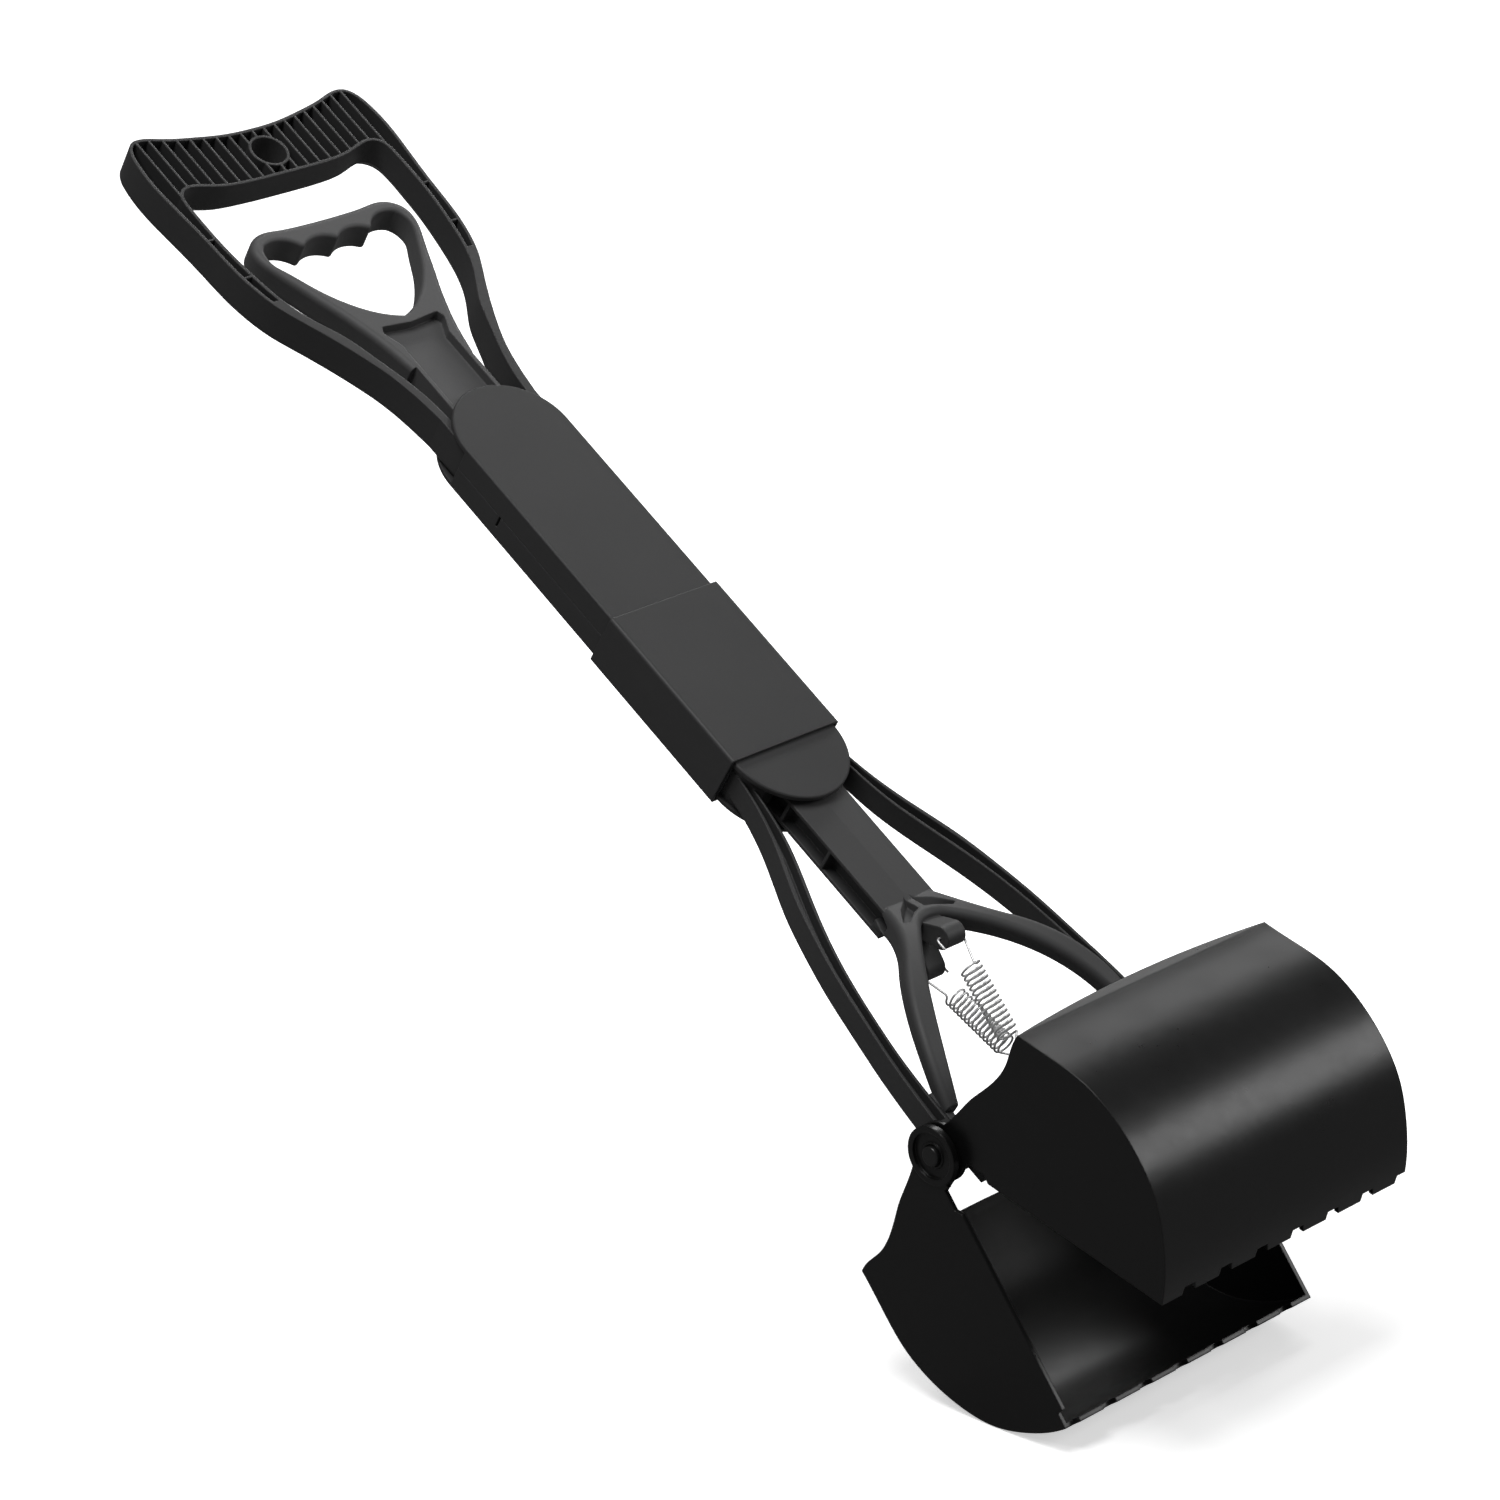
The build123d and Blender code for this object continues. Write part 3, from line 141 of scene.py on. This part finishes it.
# Moulded black plastic: a faint mottle in shade and gloss, a fine spark-eroded grain, softened edges
def plasticMaterial(name, look):
    material = bpy.data.materials.new(name)
    tree = Tree(material)
    place = tree.add("ShaderNodeTexCoord", out=3)
    cloud = tree.add("ShaderNodeTexNoise", None, {
        "Vector": place, "Scale": mottleLook["cloud"], "Detail": 3.0,
    })
    fine = tree.add("ShaderNodeTexNoise", None, {"Vector": place, "Scale": look["grain"], "Detail": 2.0})
    scuff = tree.add("ShaderNodeTexNoise", None, {
        "Vector": place, "Scale": mottleLook["scuff"], "Detail": 4.0, "Roughness": 0.7,
    })
    dark = grey(look["shade"] * (1.0 - mottleLook["spread"]), mottleLook["darkTint"])
    light = grey(look["shade"] * (1.0 + mottleLook["spread"]), mottleLook["lightTint"])
    cloudShare, grainShare = mottleLook["cloudShare"], mottleLook["grainShare"]
    colour = tree.mix(cloud * cloudShare + fine * (1.0 - cloudShare), dark, light)
    rough = look["rough"] + (cloud - noiseMiddle) * mottleLook["cloudRough"]
    rough = rough + (scuff - noiseMiddle) * mottleLook["scuffRough"]
    edge = tree.add("ShaderNodeBevel", {"samples": 6}, {"Radius": look["edge"]})
    bump = tree.add("ShaderNodeBump", None, {
        "Strength": mottleLook["bumpStrength"], "Distance": look["bump"],
        "Height": fine * grainShare + scuff * (1.0 - grainShare), "Normal": edge,
    })
    shader = tree.add("ShaderNodeBsdfPrincipled", None, {
        "Base Color": colour, "Roughness": rough, "Specular IOR Level": look["shine"], "Normal": bump,
    })
    # On the jaws, painted shade inside the bowls: a darker colour and a weaker gloss, on a rougher surface
    if "bowl" in look:
        paintedShadeBowlShader = tree.add("ShaderNodeBsdfPrincipled", None, {
            "Base Color": grey(look["bowlPaintedShade"]), "Roughness": rough + look["matt"],
            "Specular IOR Level": look["bowlPaintedShadeShine"], "Normal": bump,
        })
        inside = paintedShadeBowlMask(tree, place, look["bowl"])
        shader = tree.add("ShaderNodeMixShader", None, [inside, shader, paintedShadeBowlShader])
    tree.add("ShaderNodeOutputMaterial", None, {"Surface": shader})
    return material


# Steels. grain is in waves per metre, and metal below 1 mixes a matt share into the steel
metalLooks = {
    "screw_steel": dict(shade=0.16, rough=0.34, grain=700.0, metal=1.0),
    "axle_steel": dict(shade=0.52, rough=0.30, grain=500.0, metal=1.0),
    # The spring wire's light matt half is a painted reflection, standing in for the white surroundings it
    # would mirror
    "spring_steel": dict(shade=0.85, rough=0.30, grain=900.0, metal=0.5),
}
drawnLook = dict(
    stretch=(0.2, 1.0, 1.0), darkShare=0.82, lightShare=1.1, lightTint=(1.0, 1.0, 1.01), roughSpread=0.12,
)


# Drawn or turned steel: long streaks along X in its shade and gloss
def metalMaterial(name, look):
    material = bpy.data.materials.new(name)
    tree = Tree(material)
    place = tree.add("ShaderNodeTexCoord", out=3)
    stretched = tree.add("ShaderNodeMapping", None, {"Vector": place, "Scale": drawnLook["stretch"]})
    drawn = tree.add("ShaderNodeTexNoise", None, {
        "Vector": stretched, "Scale": look["grain"], "Detail": 3.0,
    })
    dark = grey(look["shade"] * drawnLook["darkShare"])
    light = grey(look["shade"] * drawnLook["lightShare"], drawnLook["lightTint"])
    colour = tree.mix(drawn, dark, light)
    rough = look["rough"] + (drawn - noiseMiddle) * drawnLook["roughSpread"]
    shader = tree.add("ShaderNodeBsdfPrincipled", None, {
        "Base Color": colour, "Metallic": look["metal"], "Roughness": rough,
    })
    tree.add("ShaderNodeOutputMaterial", None, {"Surface": shader})
    return material


materials = {name: plasticMaterial(name, look) for name, look in plasticLooks.items()}
materials.update({name: metalMaterial(name, look) for name, look in metalLooks.items()})
slotOf = {entry["node"]: entry["material_slot"] for entry in frame["record"]["subparts"]}
for nodeName, nodeObject in frame["nodes"].items():
    nodeObject.data.materials.clear()
    nodeObject.data.materials.append(materials[slotOf[nodeName]])
print("materials on", len(frame["nodes"]), "nodes")


# A mesh object from arrays of points and faces
def meshPiece(name, points, faces, slotName, smooth=True):
    mesh = bpy.data.meshes.new(name)
    mesh.from_pydata(points.tolist(), [], faces)
    mesh.validate()
    mesh.polygons.foreach_set("use_smooth", np.full(len(mesh.polygons), smooth))
    mesh.materials.append(materials[slotName])
    piece = bpy.data.objects.new(name, mesh)
    scene.collection.objects.link(piece)
    return piece


def unit(vectors):
    return vectors / np.linalg.norm(vectors, axis=-1, keepdims=True)


# A closed tube: circles square to the path, each turned the least from the one before
def tubeMesh(path, radius, sides):
    runs = unit(np.gradient(path, axis=0))
    normals = np.empty_like(runs)
    normal = np.cross(runs[0], (1.0, 0.0, 0.0))
    for index, run in enumerate(runs):
        normal = unit(normal - run * normal.dot(run))
        normals[index] = normal
    others = np.cross(runs, normals)
    turn = np.linspace(0.0, 2.0 * math.pi, sides, endpoint=False)[None, :, None]
    spokes = np.cos(turn) * normals[:, None, :] + np.sin(turn) * others[:, None, :]
    rings = path[:, None, :] + radius * spokes
    points = np.concatenate([rings.reshape(-1, 3), path[:1], path[-1:]])
    ring, side = np.meshgrid(np.arange(len(path) - 1), np.arange(sides), indexing="ij")
    nearSide, farSide = ring * sides + side, ring * sides + (side + 1) % sides
    quads = np.stack([nearSide, farSide, farSide + sides, nearSide + sides], -1).reshape(-1, 4).tolist()
    start, end, last = len(points) - 2, len(points) - 1, (len(path) - 1) * sides
    around = range(sides)
    startCap = [(start, (k + 1) % sides, k) for k in around]
    endCap = [(end, last + k, last + (k + 1) % sides) for k in around]
    return points, quads + startCap + endCap


# Extension springs, from a lug under the fork to the axle. Reaches are along Y, heights above the axle,
# and each pair of sides is the coil's x at its top and at its low end
springLook = dict(
    wire=0.0005, coil=0.0045, turns=14, lugReach=0.0106, lugHeight=0.0792, lugHalfWidth=0.005,
    topReach=0.0102, topHeight=0.0628, lowReach=0.0049, lowHeight=0.0310,
    frontSides=(-0.0020, -0.0055), backSides=(0.0004, -0.0011),
    freeEnd=0.004, bend=0.0015, gap=0.0003, hookOffset=0.0013, hookRadius=0.0033, hookDrop=0.006,
    hookSweep=250.0, bendShare=0.38, pointsPerTurn=24, sides=8,
)
springPoints = dict(freeEnd=6, bend=8, eye=10, arm=10, lead=16, shank=12, hook=30)


# A smooth bend: a cubic that leaves both its ends along the given runs, each by a share of their distance
def bendPoints(start, startRun, end, endRun, count):
    reach = np.linalg.norm(end - start) * springLook["bendShare"]
    share = np.linspace(0.0, 1.0, count)[:, None]
    first, second = start + startRun * reach, end - endRun * reach
    rest = 1.0 - share
    return rest**3 * start + 3.0 * rest**2 * share * first + 3.0 * rest * share**2 * second + share**3 * end


# The wire: a free end, through the lug, down the arm, a helix round the coil's line, a hook round the axle
def springPath(sense, sides, look):
    count = springPoints
    across = np.array([-sense, 0.0, 0.0])
    down = np.array([0.0, 0.0, -1.0])
    lug = np.array([0.0, sense * look["lugReach"], axleZ + look["lugHeight"]])
    top = np.array([sides[0], sense * look["topReach"], axleZ + look["topHeight"]])
    low = np.array([sides[1], sense * look["lowReach"], axleZ + look["lowHeight"]])
    along = unit(low - top)
    third = np.cross(along, across)
    pitch = np.linalg.norm(low - top) / look["turns"]
    inner = look["lugHalfWidth"] + look["gap"]
    outside = inner + look["bend"]
    freeTop = lug - across * outside + down * look["bend"]
    armTop = lug + across * outside + down * look["bend"]
    turn = np.linspace(0.0, look["turns"], look["turns"] * look["pointsPerTurn"] + 1)[:, None]
    angle = 2.0 * math.pi * turn
    coil = top + along * (pitch * turn) + look["coil"] * (across * np.cos(angle) + third * np.sin(angle))
    coilRun = unit(third * (2.0 * math.pi * look["coil"]) + along * pitch)
    armLow = coil[0] - (third + along) * look["bend"]
    armRun = unit(armLow - armTop)
    hookTop = low + across * look["hookOffset"] + along * look["hookDrop"]
    centre = np.array([hookTop[0], 0.0, axleZ])
    reach = hookTop - centre
    start = math.atan2(reach[2], reach[1]) - sense * math.acos(look["hookRadius"] / np.linalg.norm(reach))
    sweep = start - sense * math.radians(look["hookSweep"]) * np.linspace(0.0, 1.0, count["hook"])
    hook = centre + look["hookRadius"] * np.stack([0.0 * sweep, np.cos(sweep), np.sin(sweep)], 1)
    stretches = [
        np.linspace(freeTop + down * look["freeEnd"], freeTop, count["freeEnd"]),
        bendPoints(freeTop, -down, lug - across * inner, across, count["bend"]),
        np.linspace(lug - across * inner, lug + across * inner, count["eye"]),
        bendPoints(lug + across * inner, across, armTop, armRun, count["bend"]),
        np.linspace(armTop, armLow, count["arm"]),
        bendPoints(armLow, armRun, coil[0], coilRun, count["bend"]),
        coil,
        bendPoints(coil[-1], coilRun, hookTop, unit(hook[0] - hookTop), count["lead"]),
        np.linspace(hookTop, hook[0], count["shank"]),
        hook,
    ]
    return np.concatenate([stretches[0]] + [stretch[1:] for stretch in stretches[1:]])


# The spring between the axle and the lug, made at one fixed length; the real one stretches as the fork
# rises
def makeSpring(name, node, sense, sides):
    look = springLook
    points, faces = tubeMesh(springPath(sense, sides, look), look["wire"], look["sides"])
    piece = meshPiece(name, points, faces, "spring_steel")
    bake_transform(piece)
    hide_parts(node)


makeSpring("front_spring_wire", "front_spring", -1, springLook["frontSides"])
makeSpring("back_spring_wire", "back_spring", 1, springLook["backSides"])
print("springs made")

# Pull strap: a flat band, made straight; the real one bends at the fold
strapLook = dict(node="pull_strap", rows=60, bendHalf=0.006)


# The band is a rectangle carried up the strap's length on a grid, closed at both ends
def makeStrap():
    low, high = (np.array(corner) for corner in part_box(strapLook["node"]))
    rows = strapLook["rows"]
    z = np.linspace(low[2], high[2], rows)
    corners = [(low[0], low[1]), (high[0], low[1]), (high[0], high[1]), (low[0], high[1])]
    points = np.concatenate([np.column_stack([np.tile(corner, (rows, 1)), z]) for corner in corners])
    side, row = np.meshgrid(np.arange(4), np.arange(rows - 1), indexing="ij")
    here, beside = side * rows + row, (side + 1) % 4 * rows + row
    faces = np.stack([here, beside, beside + 1, here + 1], -1).reshape(-1, 4).tolist()
    faces += [(0, 3 * rows, 2 * rows, rows), (rows - 1, 2 * rows - 1, 3 * rows - 1, 4 * rows - 1)]
    piece = meshPiece("pull_strap_band", points, faces, "strap_plastic", smooth=False)
    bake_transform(piece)
    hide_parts(strapLook["node"])


makeStrap()
print("strap made")

# The floor is the plane that the back jaw rests on, so it leans in this frame. The camera sees it lighter
# than it is, with a glow that grows away from the foot, so a white floor adds little light to the object
floorLook = dict(
    normal=(0.0, -0.819, 0.573), half=3.0, gap=0.0004, shade=0.20, seenShade=0.90,
    nearGlow=0.54, farGlow=1.0, nearReach=0.12, farReach=0.50,
)


# The lowest point of the back jaw along the floor's normal, and a little below it
def floorPoint(normal):
    jaw = frame["nodes"]["back_jaw"].data
    places = np.empty(len(jaw.vertices) * 3)
    jaw.vertices.foreach_get("co", places)
    places = places.reshape(-1, 3)
    return places[np.argmin(places @ normal)] - normal * floorLook["gap"]


# One square seen from its front only, so that it hides nothing in a view from below it
def makeFloor():
    normal = unit(np.array(floorLook["normal"]))
    along = np.array([1.0, 0.0, 0.0])
    away = np.cross(normal, along)
    signs = np.array([(-1, -1), (1, -1), (1, 1), (-1, 1)]) * floorLook["half"]
    foot = floorPoint(normal)
    corners = foot + signs[:, :1] * along + signs[:, 1:] * away
    mesh = bpy.data.meshes.new("floor")
    mesh.from_pydata(corners.tolist(), [], [(0, 1, 2, 3)])
    material = bpy.data.materials.new("floor_white")
    tree = Tree(material)
    cameraRay = tree.add("ShaderNodeLightPath", out=0)
    shade = tree.mix(cameraRay, grey(floorLook["shade"]), grey(floorLook["seenShade"]))
    card = tree.add("ShaderNodeBsdfDiffuse", None, {"Color": shade})
    place = tree.add("ShaderNodeNewGeometry")
    reach = tree.add("ShaderNodeVectorMath", {"operation": "DISTANCE"}, [place, foot.tolist()], out=1)
    rise = tree.add("ShaderNodeMapRange", {"interpolation_type": "SMOOTHSTEP"}, [
        reach, floorLook["nearReach"], floorLook["farReach"], floorLook["nearGlow"], floorLook["farGlow"],
    ])
    glow = tree.add("ShaderNodeEmission", None, {"Color": grey(1.0), "Strength": cameraRay * rise})
    lit = tree.add("ShaderNodeAddShader", None, [card, glow])
    clear = tree.add("ShaderNodeBsdfTransparent")
    behind = tree.add("ShaderNodeNewGeometry", out=6)
    shown = tree.add("ShaderNodeMixShader", None, [behind, lit, clear])
    tree.add("ShaderNodeOutputMaterial", None, {"Surface": shown})
    mesh.materials.append(material)
    floor = bpy.data.objects.new("floor", mesh)
    scene.collection.objects.link(floor)
    # The low strip shines from under the floor
    floor.visible_shadow = False


makeFloor()

worldLook = dict(fill=0.14)


# White behind the object for the camera, and an even fill for every other ray
def makeWorld():
    world = bpy.data.worlds.new("studio")
    scene.world = world
    tree = Tree(world)
    cameraRay = tree.add("ShaderNodeLightPath", out=0)
    strength = cameraRay + (1.0 - cameraRay) * worldLook["fill"]
    background = tree.add("ShaderNodeBackground", None, {"Color": grey(1.0), "Strength": strength})
    tree.add("ShaderNodeOutputWorld", None, {"Surface": background})


makeWorld()

# Soft boxes. Each stands away from its aim along towards, with the first of its sides along X
stripLook = dict(aim=(0.0, -0.08, -0.60), away=3.0)
lampLooks = {
    "key": dict(
        towards=(-0.25, -0.87, 0.43), aim=(0.0, 0.0, -0.30), away=2.4, size=(1.2, 1.2), power=34.0,
    ),
    "edgeBox": dict(
        towards=(-0.66, -0.64, 0.39), aim=(0.0, 0.0, -0.40), away=3.0, size=(0.5, 0.5), power=8.0,
    ),
    "highStrip": dict(stripLook, towards=(0.69, -0.20, 0.70), size=(1.8, 0.5), power=20.0),
    "frontStrip": dict(stripLook, towards=(0.69, -0.69, -0.22), size=(1.8, 0.8), power=22.0),
    "lowStrip": dict(stripLook, towards=(0.69, 0.04, -0.72), size=(1.8, 0.9), power=7.0),
}


def makeLamp(name, look):
    data = bpy.data.lights.new(name, "AREA")
    data.shape = "RECTANGLE"
    data.size, data.size_y = look["size"]
    data.energy = look["power"]
    lamp = bpy.data.objects.new(name, data)
    scene.collection.objects.link(lamp)
    towards = Vector(look["towards"]).normalized()
    across = Vector((1.0, 0.0, 0.0))
    across = (across - towards * across.dot(towards)).normalized()
    turn = Matrix((across, towards.cross(across), towards)).transposed()
    place = Vector(look["aim"]) + towards * look["away"]
    lamp.matrix_world = Matrix.Translation(place) @ turn.to_4x4()


for lampName, lampLook in lampLooks.items():
    makeLamp(lampName, lampLook)

# The photograph's view: low, from the front left, with the shaft running away to the upper left
cameraLook = dict(
    place=(-1.3794, -1.4193, -1.1306), lens=123.516, sensor=36.0, clipEnd=50.0,
    right=(0.71026, -0.35760, -0.60634), down=(-0.27593, 0.65099, -0.70716),
    ahead=(0.64760, 0.66958, 0.36370),
)


def makeCamera():
    data = bpy.data.cameras.new("camera")
    data.sensor_fit = "HORIZONTAL"
    data.sensor_width = cameraLook["sensor"]
    data.lens = cameraLook["lens"]
    data.clip_end = cameraLook["clipEnd"]
    camera = bpy.data.objects.new("camera", data)
    scene.collection.objects.link(camera)
    right, down, ahead = (Vector(cameraLook[key]) for key in ("right", "down", "ahead"))
    turn = Matrix((right, -down, -ahead)).transposed()
    camera.matrix_world = Matrix.Translation(cameraLook["place"]) @ turn.to_4x4()
    scene.camera = camera


makeCamera()
scene.view_settings.view_transform = "Standard"
print("floor, lamps and camera set")
